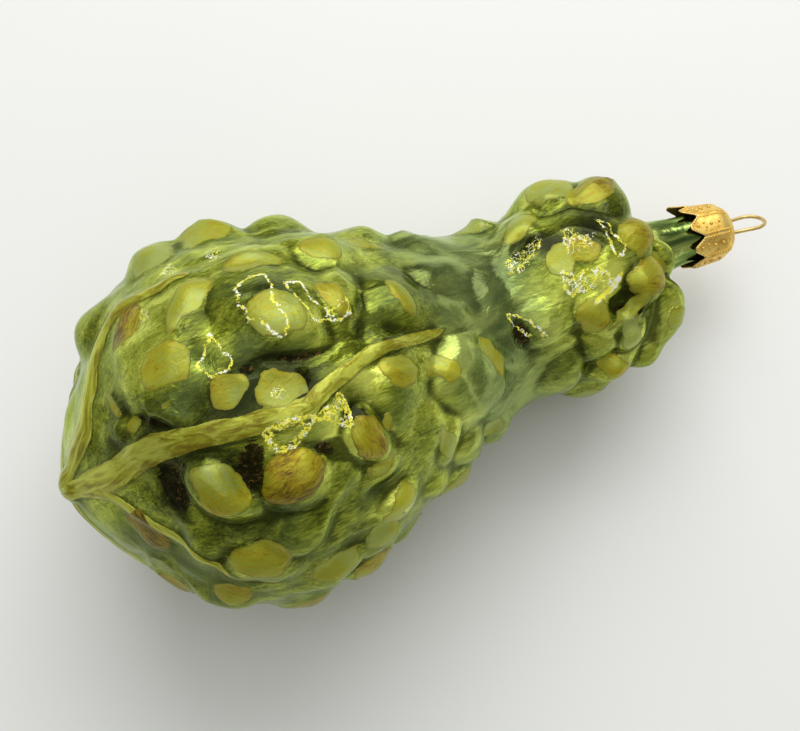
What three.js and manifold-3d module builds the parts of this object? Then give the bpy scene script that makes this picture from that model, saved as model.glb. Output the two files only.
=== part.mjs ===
// A blown-glass tree ornament in the shape of a warty gourd, lying on its side.
// Three pieces: the hollow glass body, the stamped metal cap on its neck, and the wire hanger,
// whose loop stands out of the cap and whose two spring legs reach down inside the neck.
//
// Each piece is modelled on the gourd's own axis, which is +X from the blossom end to the loop.
// A place on the gourd is a station (mm along that axis) and an angle (degrees round it, 0 on top,
// growing towards -Y). The whole ornament is then laid down on the surface it rests on.
// Units are millimetres, +Z is up.
import * as THREE from "three";
import { mergeVertices } from "three/addons/utils/BufferGeometryUtils.js";
import Module from "manifold-3d";

const wasm = await Module();
wasm.setup();

// ---- driving dimensions ----
const wall = 1.0; // thickness of the blown glass where it is thinnest, above its hollows
const neckTop = 138.4; // station of the glass lip
const neckRadius = 4.9;
const past = 1; // how far a cut runs past the face that it opens
const neckShift = { from: 107, to: 119, side: 1.4 }; // the neck grows out a little towards +Y
const neckBend = { from: 122, length: 12, turn: 7 }; // and then turns 7 degrees back towards -Y

const outerFacets = { along: 50, round: 64 }; // of the glass, blossom end to lip
const innerFacets = { along: 24, round: 28 };

// Outline of the gourd without its warts: [station, radius].
const outline = [
  [0, 0],
  [0.6, 4.2],
  [3.8, 10.9],
  [9, 18.7],
  [17, 28.6],
  [26, 33.2],
  [36, 34.4],
  [45, 33],
  [54, 30.4],
  [63, 26.2],
  [72, 22.6],
  [81, 19.6],
  [89, 17.7],
  [98, 18],
  [106, 19.5],
  [112.5, 18.4],
  [118, 13.4],
  [121.5, 8.6],
  [125, 6.1],
  [130, 5.1],
  [134.5, neckRadius],
  [neckTop, neckRadius],
];

// Swellings of the side that shows: [station, angle, half length, half width, twist, height,
// crown, lean]. The twist turns the length from the axis towards growing angles. A crown of 1 is a
// dome with a soft foot, 2 a flat-topped button. A positive lean raises the side of growing angles.
const swellings = [
  [28.5, -66, 8.6, 9, 0, 2.8, 1, 0],
  [39, -65, 8.5, 9, 0, 3.1, 1, 0],
  [51.6, -64, 7, 9, 0, 2.9, 1, 0],
  [14, -72, 7.5, 8, 0, 2.8, 1, 0],
  [5, -72, 5, 5, 0, 0.8, 1, 0],
  [0.1, 0, 4.2, 4.2, 0, 1.3, 1.5, 0],
  [19, -13.5, 11, 10, -20, 1.4, 1.3, 0.2],
  [27.5, -28.5, 9, 6, -36, 1.2, 1, 0],
  [41, -13, 13, 12.5, 0, 3.2, 1.3, 0.5],
  [51, -12, 7, 8.5, 0, 2.2, 1.2, 0.3],
  [62, -8.5, 8, 8.5, 0, 2.4, 1.2, 0.25],
  [73, -18.5, 7, 6, 0, 1.2, 1, 0],
  [71, 5.5, 6.5, 5, 0, 1.2, 1.2, 0],
  [54.5, -35.5, 10, 10, 0, 2.4, 1, 0.2],
  [65, -53, 8.5, 9, 0, 2.3, 1, 0],
  [75, -50, 7, 7, 0, 1.4, 1, 0],
  [42.5, -34.5, 8.5, 5.5, 5, 1.8, 1, 0],
  [37, 20.5, 12, 8, -5, 1.6, 1.2, 0.2],
  [56, 24.5, 9.5, 9, 0, 1.4, 1.2, 0],
  [10.5, -3.5, 3.5, 2.4, 0, 1.1, 1, 0],
  [16.5, 1.5, 5, 2.2, 15, 0.9, 1, 0],
  [19.5, 31.5, 7.4, 5.4, 60, 3, 1.8, 0],
  [32, 34.5, 8, 6.3, -15, 2.8, 1.5, 0.25],
  [30.5, 52, 7.6, 5.6, -10, 2, 1.5, 0.2],
  [23, 60.5, 8, 5.6, 5, 2.2, 1.4, 0.2],
  [15.5, 52.5, 7, 4.5, 30, 1.1, 1, 0],
  [18, 86, 8, 7, 0, 2.2, 1, 0],
  [46.5, 34, 6.6, 5, 80, 2.8, 1.7, 0],
  [48, 45, 6, 4, -20, 1.5, 1.2, 0.2],
  [39.5, 41.5, 5.8, 4.2, -15, 1.2, 1, 0],
  [50, 61.5, 6.8, 4.5, -25, 2, 1.4, 0],
  [46, 74.5, 7, 4.5, -25, 1.9, 1.3, 0],
  [36, 76.5, 8.4, 5.4, -15, 2.2, 1.3, 0],
  [60, 73.5, 5.5, 4.8, -20, 1.9, 1.2, 0],
  [63.5, 54.5, 6.2, 3.4, 80, 1.6, 1.2, 0],
  [68.5, 71.5, 6, 5, 60, 1.9, 1.3, 0],
  [76.5, 81.5, 6, 4.6, 0, 1.8, 1.1, 0],
  [60, 41.5, 6, 7.5, 0, 1.3, 1, 0],
  [70, 33.5, 10, 10.5, 0, 2.6, 1.7, 0.15],
  [77.5, 31.5, 5.8, 3.6, 75, 1.1, 1, 0],
  [94.5, -37.5, 9.5, 4.6, -30, 2.4, 1.1, 0.3],
  [103.5, -51, 10, 9, 0, 3.6, 1.2, 0],
  [113, -36, 9, 9, 0, 3.4, 1.2, 0],
  [114, 3, 7, 6.6, 0, 3, 1.1, 0],
  [100, -4, 15, 13, 10, 2.5, 2.2, 0.25],
  [100, 32.5, 6.2, 5.6, -20, 3, 1.5, 0.2],
  [91, 24.5, 8, 6.6, 0, 2.6, 1.5, 0.3],
  [91.5, 42.5, 6.6, 3.4, 10, 1.5, 1, 0],
  [112.5, 29, 6.6, 5.4, 10, 3, 1.5, 0.4],
  [120.5, 28, 6.5, 4, 80, 3.8, 1.2, 0],
  [108, 40, 6, 2.8, -20, 1.9, 1, 0],
  [106.5, 52.5, 4.4, 5.4, 0, 2.4, 1.2, 0],
  [100, 51.5, 5, 6, 0, 2, 1.4, 0],
  [117, 64, 7, 7, 0, 5.4, 1.3, 0],
  [111.5, 78, 6.2, 5.4, 0, 3.3, 1.1, 0],
  [102.5, 73.5, 6.4, 5.4, 0, 3, 1.2, 0],
  [92.5, 70.5, 6.4, 6.6, 0, 2.4, 1.4, 0],
  [90, -66, 6, 5.6, 0, 1.9, 1, 0],
];

// Swellings round the side it lies on, mirrored about the bottom line (angle 180):
// [station, degrees from the bottom line, half length, half width, height], and the three feet.
const underside = [
  [12, 28, 7.5, 7, 1.2],
  [11, 74, 7, 7, 0.6],
  [21, 0, 8, 7.5, 1.5],
  [22, 50, 9, 8, 2],
  [31, 27, 7.5, 7, 1.5],
  [33, 74, 8.5, 8, 2.4],
  [44, 48, 8.5, 8.5, 2.1],
  [44, 92, 7.5, 7, 2.4],
  [55, 70, 8, 7.5, 2.3],
  [57, 24, 8.5, 7.5, 1.4],
  [66, 88, 8, 7, 2.4],
  [69, 0, 8, 7, 1.4],
  [69, 46, 8, 7.5, 1.8],
  [80, 26, 7.5, 6, 1.3],
  [81, 72, 6.5, 6, 0.6],
  [91, 0, 7.5, 6, 1.2],
  [91, 46, 8, 7, 2],
  [101, 68, 8, 7.5, 2.8],
  [112, 40, 7.5, 6.5, 2.4],
];
const feet = [
  [42, 18, 9, 8, 3.2],
  [107, 0, 9, 8, 3.2],
];

// Hollows pressed between the swellings: [station, angle, half length, half width, twist, depth].
const hollows = [
  [14, 28.5, 3.4, 6, 10, 2.4],
  [25.3, 31.5, 3, 4.6, 0, 2.6],
  [40, 3.5, 8.5, 1.6, 1, 1.8],
  [31.5, 1.5, 2.2, 1.7, 0, 1.6],
  [14.7, 2.5, 6.5, 1.7, 30, 1.5],
  [40.2, 31.5, 2.6, 2.6, 0, 2],
  [84.6, 28.5, 2.6, 3.2, 0, 2.2],
  [105.5, 33.5, 5.5, 2.5, -12, 2.6],
  [92, -19.5, 5.5, 2.6, -30, 1.2],
];
const deepest = -0.3; // no hollow goes further below the outline than this

// Ribs from the blossom end: stations, angles and half widths along each one.
const ribs = [
  {
    stations: [0, 6, 8, 10.5, 12.5, 15, 17.5, 20, 22, 25, 28, 31.5, 35],
    angles: [-20, -26, -35, -43, -47, -48, -47, -45, -42, -39, -37.5, -36, -35.5],
    halfWidths: [1.8, 2.9, 3, 2.7, 2.3, 1.9, 1.7, 1.5, 1.4, 1.3, 1.2, 1, 0.5],
  },
  {
    stations: [0, 5, 7.5, 10.5, 14, 17, 24, 33, 38.5, 41, 45.5, 50, 54, 59, 64.5, 69.5, 73],
    angles: [17, 16.5, 15.5, 12.5, 12, 13, 15.5, 17, 17.5, 15.5, 13, 11, 9.5, 9.5, 10.5, 10.5, 9.5],
    halfWidths: [1.6, 2.5, 2.6, 2.6, 2.5, 2.3, 2, 1.8, 1.7, 1.7, 1.5, 1.3, 1.1, 0.9, 0.8, 0.7, 0.4],
  },
  {
    stations: [0, 3, 5, 6.5, 8, 10, 11.5, 13, 15, 17, 19, 22, 26, 31],
    angles: [24, 26, 29, 36, 42, 47, 51, 54, 58, 62.5, 65.5, 67.5, 70, 75],
    halfWidths: [0.9, 1, 1, 1.1, 1.1, 1.1, 1.1, 1, 1, 1, 1, 0.9, 0.7, 0.4],
  },
  { stations: [0, 10, 25, 45, 62], angles: [112, 116, 122, 118, 121], halfWidths: [1.4, 2.2, 2, 1.4, 0.5] },
  { stations: [0, 10, 20, 30, 36], angles: [168, 163, 158, 161, 160], halfWidths: [1.4, 2.2, 2, 1.4, 0.5] },
  { stations: [0, 10, 20, 30, 36], angles: [214, 219, 214, 208, 210], halfWidths: [1.4, 2.2, 2, 1.4, 0.5] },
  { stations: [0, 10, 25, 45, 62], angles: [266, 262, 257, 260, 256], halfWidths: [1.4, 2.2, 2, 1.4, 0.5] },
];
const ribHeight = 0.9; // of a rib of this half width:
const ribHalfWidth = 2.6;
const ribEdge = 1.1; // how far out its side reaches, as a share of its half width
const ribFade = 6; // the length over which its end runs out
const ribSink = 4; // a rib is lost on a swelling much higher than this
const unevenness = 1.1; // how far places shift under a wart, so that no wart is an even oval

// ---- the glass body ----
const radians = THREE.MathUtils.degToRad;
const curve = new THREE.SplineCurve(outline.map(([s, r]) => new THREE.Vector2(s, r)));

// Points along the outline with their outward normals.
function outlinePoints(count) {
  return [...Array(count + 1).keys()].map((i) => {
    const at = curve.getPointAt(i / count);
    const along = curve.getTangentAt(i / count);
    return { s: at.x, r: Math.max(at.y, 0), ns: -along.y, nr: along.x };
  });
}

function pointAt(place, angle, lift) {
  const radius = place.r + lift * place.nr;
  return new THREE.Vector3(
    place.s + lift * place.ns,
    -radius * Math.sin(angle),
    radius * Math.cos(angle),
  );
}

// The outline's place at a station.
const fine = outlinePoints(600);
function placeAt(station) {
  return fine.find((p) => p.s >= station);
}

// Three slow waves, each about 18 to 25 mm long.
function uneven({ x, y, z }) {
  return new THREE.Vector3(
    x + unevenness * Math.sin(0.31 * y + 0.24 * z),
    y + unevenness * Math.sin(0.27 * x + 0.22 * z + 1.3),
    z + unevenness * Math.sin(0.33 * y - 0.25 * x + 0.6),
  );
}

// A swelling or a hollow: its centre, and its length and width lying in the surface.
function form([station, angle, halfLength, halfWidth, twist, height, crown, lean]) {
  const place = placeAt(station);
  const round = radians(angle);
  const along = new THREE.Vector3(
    place.nr,
    place.ns * Math.sin(round),
    -place.ns * Math.cos(round),
  );
  const across = new THREE.Vector3(0, -Math.cos(round), -Math.sin(round));
  const turn = radians(twist);
  return {
    centre: uneven(pointAt(place, round, 0)),
    length: along.clone().multiplyScalar(Math.cos(turn)).addScaledVector(across, Math.sin(turn)),
    width: along.clone().multiplyScalar(-Math.sin(turn)).addScaledVector(across, Math.cos(turn)),
    halfLength,
    halfWidth,
    height,
    crown,
    lean,
  };
}

function mirrored([station, fromBottom, halfLength, halfWidth, height]) {
  const angles = fromBottom ? [180 - fromBottom, 180 + fromBottom] : [180];
  return angles.map((angle) => [station, angle, halfLength, halfWidth, 0, height, 1, 0]);
}

const raised = [...swellings, ...[...underside, ...feet].flatMap(mirrored)].map(form);
const pressed = hollows.map((row) => form([...row, 1, 0]));

function lift(point, { centre, length, width, halfLength, halfWidth, height, crown, lean }) {
  const from = uneven(point).sub(centre);
  if (from.length() > 1.6 * Math.max(halfLength, halfWidth)) return 0;
  const [u, v] = [from.dot(length) / halfLength, from.dot(width) / halfWidth];
  const spread = u ** 2 + v ** 2;
  return spread < 1 ? height * (1 - spread ** crown) ** 2 * (1 + lean * v) : 0;
}

// The value at a station of something given at rising stations.
function along(stations, values, station) {
  const next = stations.findIndex((s) => s > station);
  if (next < 1) return next === 0 ? values[0] : values.at(-1);
  const t = (station - stations[next - 1]) / (stations[next] - stations[next - 1]);
  return THREE.MathUtils.lerp(values[next - 1], values[next], t);
}

function ribLift(point) {
  const round = Math.atan2(-point.y, point.z);
  const reach = Math.hypot(point.y, point.z);
  return ribs.reduce((most, { stations, angles, halfWidths }) => {
    const off = round - radians(along(stations, angles, point.x));
    const distance = reach * Math.abs(Math.atan2(Math.sin(off), Math.cos(off)));
    const half = along(stations, halfWidths, point.x);
    const end = 1 - THREE.MathUtils.smoothstep(point.x, stations.at(-1) - ribFade, stations.at(-1));
    const height = ribHeight * Math.sqrt(half / ribHalfWidth) * end;
    return Math.max(most, height * Math.exp(-((distance / (half * ribEdge)) ** 2)));
  }, 0);
}

// Swellings run into each other softly: the cube root of the sum of their cubes.
// A rib rides on top of them, and the hollows go down between them.
function relief(point) {
  const swell = raised.reduce((total, f) => total + lift(point, f) ** 3, 0) ** (1 / 3);
  const press = pressed.reduce((total, f) => total + lift(point, f), 0);
  return Math.max(swell + ribLift(point) * Math.exp(-swell / ribSink) - press, deepest);
}

// The whole body is a solid of this skin, and the hollow is cut out of it.
function skin({ along, round }, lift, withRelief) {
  const places = outlinePoints(along);
  Object.assign(places[0], { r: 0, ns: -1, nr: 0 });
  Object.assign(places[along], { ns: 0, nr: 1 });
  const rows = [...places, { s: neckTop + (withRelief ? 0 : past), r: 0, ns: 0, nr: 0 }];
  const profile = rows.map((_, row) => new THREE.Vector2(1, row));
  const geometry = new THREE.LatheGeometry(profile, round);
  const position = geometry.getAttribute("position");
  for (let i = 0; i < position.count; i++) {
    const row = i % rows.length;
    const place = row === 0 ? { ...rows[0], nr: 0 } : rows[row];
    const angle = (2 * Math.PI * (Math.floor(i / rows.length) % round)) / round;
    const rise = withRelief ? relief(pointAt(place, angle, 0)) : 0;
    const at = pointAt(place, angle, lift + rise);
    if (!withRelief && row === along) at.x = neckTop + past;
    position.setXYZ(i, at.x, at.y, at.z);
  }
  return geometry;
}

function glassGeometry() {
  const hollow = toSolid(skin(innerFacets, -wall, false));
  return fromSolid(toSolid(skin(outerFacets, 0, true)).subtract(hollow));
}

// ---- the cap ----
const cap = {
  petals: 8,
  tipStation: 132.2, // where the petals' tips end
  notch: 2.4, // how far the petals part
  shoulder: 138.4, // where the straight petals turn into the dome
  top: 142.6, // the dome's flat top
  radius: 6.3,
  flatRadius: 3.3, // of the dome's top
  metal: 0.4,
  taper: 0.25, // how much narrower the cap is at its shoulder
  flat: 0.55, // how far each petal is flattened between its two creases, 1 is a flat facet
};
const holeSpacing = 5.2; // between the wire's two holes

// One cross-section of the cap's wall, from the petals' rim over the outside to the top.
function capWall(angle, inset) {
  const period = (2 * Math.PI) / cap.petals;
  const off = Math.abs(angle - period * Math.round(angle / period)); // from the petal's middle line
  const rim = cap.tipStation + cap.notch * Math.min(1, (off / (period / 2)) ** 1.5);
  const facet = Math.cos(period / 2) / Math.cos(off);
  const squash = 1 - cap.flat * (1 - facet);
  const side = (cap.radius - inset) * squash;
  const dome = cap.top - cap.shoulder;
  const steps = [0, 0.25, 0.5, 0.75, 1];
  const wallPoints = [0, 0.5, 1].map((t) => [
    THREE.MathUtils.lerp(rim, cap.shoulder, t),
    side - cap.taper * t,
  ]);
  const domePoints = steps.slice(1).map((t) => {
    const bend = (t * Math.PI) / 2;
    return [
      cap.shoulder + (dome - inset) * Math.sin(bend),
      cap.flatRadius + (side - cap.taper - cap.flatRadius) * Math.cos(bend),
    ];
  });
  return [...wallPoints, ...domePoints, [cap.top - inset, 0]];
}

function capGeometry() {
  const facets = cap.petals * 6;
  const rows = capWall(0, 0).length;
  const profile = Array.from({ length: 2 * rows }, (_, j) => new THREE.Vector2(1 + j * 1e-3, j));
  const geometry = new THREE.LatheGeometry(profile, facets);
  const position = geometry.getAttribute("position");
  for (let i = 0; i < position.count; i++) {
    const angle = (2 * Math.PI * (Math.floor(i / (2 * rows)) % facets)) / facets;
    const j = i % (2 * rows);
    const [s, r] = j < rows ? capWall(angle, cap.metal)[rows - 1 - j] : capWall(angle, 0)[j - rows];
    position.setXYZ(i, s, -r * Math.sin(angle), r * Math.cos(angle));
  }
  return geometry;
}

// ---- the hanger ----
const wire = 0.4; // the wire's radius
const gap = 0.3; // left between pieces that touch on the real ornament
const holeRadius = wire + gap;
const loop = { radius: 3.1, centre: 148.4, turn: radians(46) }; // turn: of the loop's plane from upright
const legs = { bend: 128, tip: 114, spread: 8 };

function hangerGeometry() {
  const half = holeSpacing / 2;
  const leg = (side) => [
    [legs.tip, side * legs.spread],
    [legs.bend - 6, side * 5.2],
    [legs.bend, side * 3.1],
    [cap.top - 4, side * half],
    [cap.top + 0.6, side * half],
  ];
  const arc = [...Array(9).keys()].map((i) => {
    const at = radians(-100 + 25 * i);
    return [loop.centre + loop.radius * Math.cos(at), loop.radius * Math.sin(at)];
  });
  const route = [...leg(-1), ...arc, ...leg(1).reverse()];
  const path = new THREE.CatmullRomCurve3(
    route.map(([s, v]) => new THREE.Vector3(s, -v * Math.sin(loop.turn), v * Math.cos(loop.turn))),
    false,
    "centripetal",
  );
  const section = new THREE.Shape().absarc(0, 0, wire, 0, 2 * Math.PI, false);
  return new THREE.ExtrudeGeometry(section, {
    steps: 64,
    curveSegments: 4,
    bevelEnabled: false,
    extrudePath: path,
  });
}

// ---- solids ----
function toSolid(geometry) {
  const bare = new THREE.BufferGeometry().setAttribute("position", geometry.getAttribute("position"));
  bare.setIndex(geometry.index);
  const merged = mergeVertices(bare, 1e-3);
  return new wasm.Manifold(
    new wasm.Mesh({
      numProp: 3,
      vertProperties: merged.attributes.position.array,
      triVerts: new Uint32Array(merged.index.array),
    }),
  );
}

function fromSolid(solid) {
  const { vertProperties, triVerts } = solid.getMesh();
  return new THREE.BufferGeometry()
    .setAttribute("position", new THREE.BufferAttribute(vertProperties, 3))
    .setIndex(new THREE.BufferAttribute(triVerts, 1));
}

// The two holes that the wire goes through, in the plane of the loop.
function drilledCap() {
  return [-1, 1].reduce((solid, side) => {
    const drill = new THREE.CylinderGeometry(holeRadius, holeRadius, 4, 12).rotateZ(Math.PI / 2);
    const off = (side * holeSpacing) / 2;
    drill.translate(cap.top, -off * Math.sin(loop.turn), off * Math.cos(loop.turn));
    return solid.subtract(toSolid(drill));
  }, toSolid(capGeometry()));
}

// Shifts and bends the neck, and what sits on it, in the level plane.
function bendNeck(geometry) {
  const turn = radians(neckBend.turn);
  const bendRadius = neckBend.length / turn;
  const position = geometry.getAttribute("position");
  for (let i = 0; i < position.count; i++) {
    const x = position.getX(i);
    const shift = THREE.MathUtils.smoothstep(x, neckShift.from, neckShift.to);
    const y = position.getY(i) + neckShift.side * shift;
    const along = THREE.MathUtils.clamp(x - neckBend.from, 0, neckBend.length);
    const at = along / bendRadius;
    const rest = x - neckBend.from - along;
    const bentX = neckBend.from + bendRadius * Math.sin(at) + rest * Math.cos(at) + y * Math.sin(at);
    const bentY = -bendRadius * (1 - Math.cos(at)) - rest * Math.sin(at) + y * Math.cos(at);
    position.setXYZ(i, bentX, bentY, position.getZ(i));
  }
  return geometry;
}

function piece(name, geometry, material) {
  bendNeck(geometry);
  const mesh = new THREE.Mesh(geometry, new THREE.MeshStandardMaterial(material));
  mesh.name = name;
  return mesh;
}

const glass = piece("glass_body", glassGeometry(), { color: 0x6f8232, roughness: 0.15, metalness: 0.6 });
const crown = piece("cap", fromSolid(drilledCap()), { color: 0xd9a441, roughness: 0.35, metalness: 1 });
const hanger = piece("wire_hanger", hangerGeometry(), { color: 0xc9a94e, roughness: 0.3, metalness: 1 });

// ---- laid down ----
// The gourd lies on the feet of its bulb and of its head: the tilt at which both are as low.
function lowest(geometry, from, to, tilt) {
  const position = geometry.getAttribute("position");
  let low = Infinity;
  for (let i = 0; i < position.count; i++) {
    const x = position.getX(i);
    if (x < from || x > to) continue;
    low = Math.min(low, position.getZ(i) * Math.cos(tilt) - x * Math.sin(tilt));
  }
  return low;
}

function restingTilt(geometry) {
  const waist = 88;
  let [flat, steep] = [0, radians(30)];
  for (let i = 0; i < 40; i++) {
    const tilt = (flat + steep) / 2;
    const headIsLower = lowest(geometry, waist, neckTop, tilt) < lowest(geometry, -5, waist, tilt);
    [flat, steep] = headIsLower ? [flat, tilt] : [tilt, steep];
  }
  return flat;
}

const ornament = new THREE.Group().add(glass, crown, hanger);
ornament.rotation.y = restingTilt(glass.geometry);

const gourd = new THREE.Group().add(ornament);
const box = new THREE.Box3().setFromObject(gourd, true);
const middle = box.getCenter(new THREE.Vector3());
ornament.position.set(-middle.x, -middle.y, -box.min.z);

export default gourd;
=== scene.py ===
"""Looks of a blown-glass gourd ornament with a stamped cap and a wire hanger, lying on a pale table.

The gourd is described on its own axis: a station in mm from the blossom end (x), and an angle in degrees
round the axis, 0 on top and growing towards -Y. lay_down() puts that frame where the CAD model lies.
"""

import math
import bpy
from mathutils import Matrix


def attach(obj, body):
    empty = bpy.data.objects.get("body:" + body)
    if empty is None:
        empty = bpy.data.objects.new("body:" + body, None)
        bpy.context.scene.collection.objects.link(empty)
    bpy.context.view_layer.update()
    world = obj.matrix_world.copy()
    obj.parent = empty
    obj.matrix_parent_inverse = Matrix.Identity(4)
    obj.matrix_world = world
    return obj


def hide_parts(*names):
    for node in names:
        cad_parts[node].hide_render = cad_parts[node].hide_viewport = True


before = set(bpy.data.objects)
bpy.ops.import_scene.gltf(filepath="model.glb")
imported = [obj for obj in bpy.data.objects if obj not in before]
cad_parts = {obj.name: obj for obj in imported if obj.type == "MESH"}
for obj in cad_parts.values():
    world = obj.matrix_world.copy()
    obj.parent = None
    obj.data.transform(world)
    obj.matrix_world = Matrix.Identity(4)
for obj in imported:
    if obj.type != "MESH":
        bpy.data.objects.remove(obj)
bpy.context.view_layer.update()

from types import SimpleNamespace

import bpy
import numpy as np

MM = 0.001

# ---- how the ornament lies (the CAD model's own values) ----
TILT = math.radians(10.8517)
POLE = (-73.7922, -0.0714, 42.5516)  # place of the blossom end, in mm
NECK_SHIFT = (107.0, 119.0, 1.4)  # from this station to that one, and how far towards +Y
NECK_BEND = (122.0, 12.0, math.radians(7.0))  # first station, length and turn

# ---- the camera ----
CAMERA = dict(place=(-0.0410, -0.0693, 0.3087), azimuth=-25.41, elevation=74.93, lens=67.5)

# ---- the gourd ----
NECK_TOP = 138.4
# Station and radius.
OUTLINE = [
    (0, 0), (0.6, 4.2), (3.8, 10.9), (9, 18.7), (17, 28.6), (26, 33.2), (36, 34.4), (45, 33),
    (54, 30.4), (63, 26.2), (72, 22.6), (81, 19.6), (89, 17.7), (98, 18), (106, 19.5), (112.5, 18.4),
    (118, 13.4), (121.5, 8.6), (125, 6.1), (130, 5.1), (134.5, 4.9), (NECK_TOP, 4.9),
]

# Swellings: station, angle, half length, half width, twist and height, then crown and lean where it
# isn't a plain DOME.
SWELLINGS = [
    (28.5, -66, 8.6, 9, 0, 2.8), (39, -65, 8.5, 9, 0, 3.1), (51.6, -64, 7, 9, 0, 2.9),
    (14, -72, 7.5, 8, 0, 2.8), (5, -72, 5, 5, 0, 0.8), (0.1, 0, 4.2, 4.2, 0, 1.3, 1.5, 0),
    (19, -13.5, 11, 10, -20, 1.4, 1.3, 0.2), (27.5, -28.5, 9, 6, -36, 1.2),
    (41, -13, 13, 12.5, 0, 3.2, 1.3, 0.5), (51, -12, 7, 8.5, 0, 2.2, 1.2, 0.3),
    (62, -8.5, 8, 8.5, 0, 2.4, 1.2, 0.25), (73, -18.5, 7, 6, 0, 1.2), (71, 5.5, 6.5, 5, 0, 1.2, 1.2, 0),
    (54.5, -35.5, 10, 10, 0, 2.4, 1, 0.2), (65, -53, 8.5, 9, 0, 2.3), (75, -50, 7, 7, 0, 1.4),
    (42.5, -34.5, 8.5, 5.5, 5, 1.8), (37, 20.5, 12, 8, -5, 1.6, 1.2, 0.2),
    (56, 24.5, 9.5, 9, 0, 1.4, 1.2, 0), (10.5, -3.5, 3.5, 2.4, 0, 1.1), (16.5, 1.5, 5, 2.2, 15, 0.9),
    (19.5, 31.5, 7.4, 5.4, 60, 3, 1.8, 0), (32, 34.5, 8, 6.3, -15, 2.8, 1.5, 0.25),
    (30.5, 52, 7.6, 5.6, -10, 2, 1.5, 0.2), (23, 60.5, 8, 5.6, 5, 2.2, 1.4, 0.2),
    (15.5, 52.5, 7, 4.5, 30, 1.1), (18, 86, 8, 7, 0, 2.2), (46.5, 34, 6.6, 5, 80, 2.8, 1.7, 0),
    (48, 45, 6, 4, -20, 1.5, 1.2, 0.2), (39.5, 41.5, 5.8, 4.2, -15, 1.2),
    (50, 61.5, 6.8, 4.5, -25, 2, 1.4, 0), (46, 74.5, 7, 4.5, -25, 1.9, 1.3, 0),
    (36, 76.5, 8.4, 5.4, -15, 2.2, 1.3, 0), (60, 73.5, 5.5, 4.8, -20, 1.9, 1.2, 0),
    (63.5, 54.5, 6.2, 3.4, 80, 1.6, 1.2, 0), (68.5, 71.5, 6, 5, 60, 1.9, 1.3, 0),
    (76.5, 81.5, 6, 4.6, 0, 1.8, 1.1, 0), (60, 41.5, 6, 7.5, 0, 1.3),
    (70, 33.5, 10, 10.5, 0, 2.6, 1.7, 0.15), (77.5, 31.5, 5.8, 3.6, 75, 1.1),
    (94.5, -37.5, 9.5, 4.6, -30, 2.4, 1.1, 0.3), (103.5, -51, 10, 9, 0, 3.6, 1.2, 0),
    (113, -36, 9, 9, 0, 3.4, 1.2, 0), (114, 3, 7, 6.6, 0, 3, 1.1, 0),
    (100, -4, 15, 13, 10, 2.5, 2.2, 0.25), (100, 32.5, 6.2, 5.6, -20, 3, 1.5, 0.2),
    (91, 24.5, 8, 6.6, 0, 2.6, 1.5, 0.3), (91.5, 42.5, 6.6, 3.4, 10, 1.5),
    (112.5, 29, 6.6, 5.4, 10, 3, 1.5, 0.4), (120.5, 28, 6.5, 4, 80, 3.8, 1.2, 0),
    (108, 40, 6, 2.8, -20, 1.9), (106.5, 52.5, 4.4, 5.4, 0, 2.4, 1.2, 0), (100, 51.5, 5, 6, 0, 2, 1.4, 0),
    (117, 64, 7, 7, 0, 5.4, 1.3, 0), (111.5, 78, 6.2, 5.4, 0, 3.3, 1.1, 0),
    (102.5, 73.5, 6.4, 5.4, 0, 3, 1.2, 0), (92.5, 70.5, 6.4, 6.6, 0, 2.4, 1.4, 0),
    (90, -66, 6, 5.6, 0, 1.9),
]
# Swellings of the side it lies on: station, degrees from the bottom line, half length, half width and
# height. The feet are the ones that it rests on.
UNDERSIDE = [
    (12, 28, 7.5, 7, 1.2), (11, 74, 7, 7, 0.6), (21, 0, 8, 7.5, 1.5), (22, 50, 9, 8, 2),
    (31, 27, 7.5, 7, 1.5), (33, 74, 8.5, 8, 2.4), (44, 48, 8.5, 8.5, 2.1), (44, 92, 7.5, 7, 2.4),
    (55, 70, 8, 7.5, 2.3), (57, 24, 8.5, 7.5, 1.4), (66, 88, 8, 7, 2.4), (69, 0, 8, 7, 1.4),
    (69, 46, 8, 7.5, 1.8), (80, 26, 7.5, 6, 1.3), (81, 72, 6.5, 6, 0.6), (91, 0, 7.5, 6, 1.2),
    (91, 46, 8, 7, 2), (101, 68, 8, 7.5, 2.8), (112, 40, 7.5, 6.5, 2.4),
]
FEET = [(42, 18, 9, 8, 3.2), (107, 0, 9, 8, 3.2)]
# Hollows between them: station, angle, half length, half width, twist and depth.
HOLLOWS = [
    (14, 28.5, 3.4, 6, 10, 2.4), (25.3, 31.5, 3, 4.6, 0, 2.6), (40, 3.5, 8.5, 1.6, 1, 1.8),
    (31.5, 1.5, 2.2, 1.7, 0, 1.6), (14.7, 2.5, 6.5, 1.7, 30, 1.5), (40.2, 31.5, 2.6, 2.6, 0, 2),
    (84.6, 28.5, 2.6, 3.2, 0, 2.2), (105.5, 33.5, 5.5, 2.5, -12, 2.6), (92, -19.5, 5.5, 2.6, -30, 1.2),
]
DEEPEST = -0.3  # no hollow goes further below the outline than this
UNEVEN = 1.1  # mm by which the ovals' shapes are shifted

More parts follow.
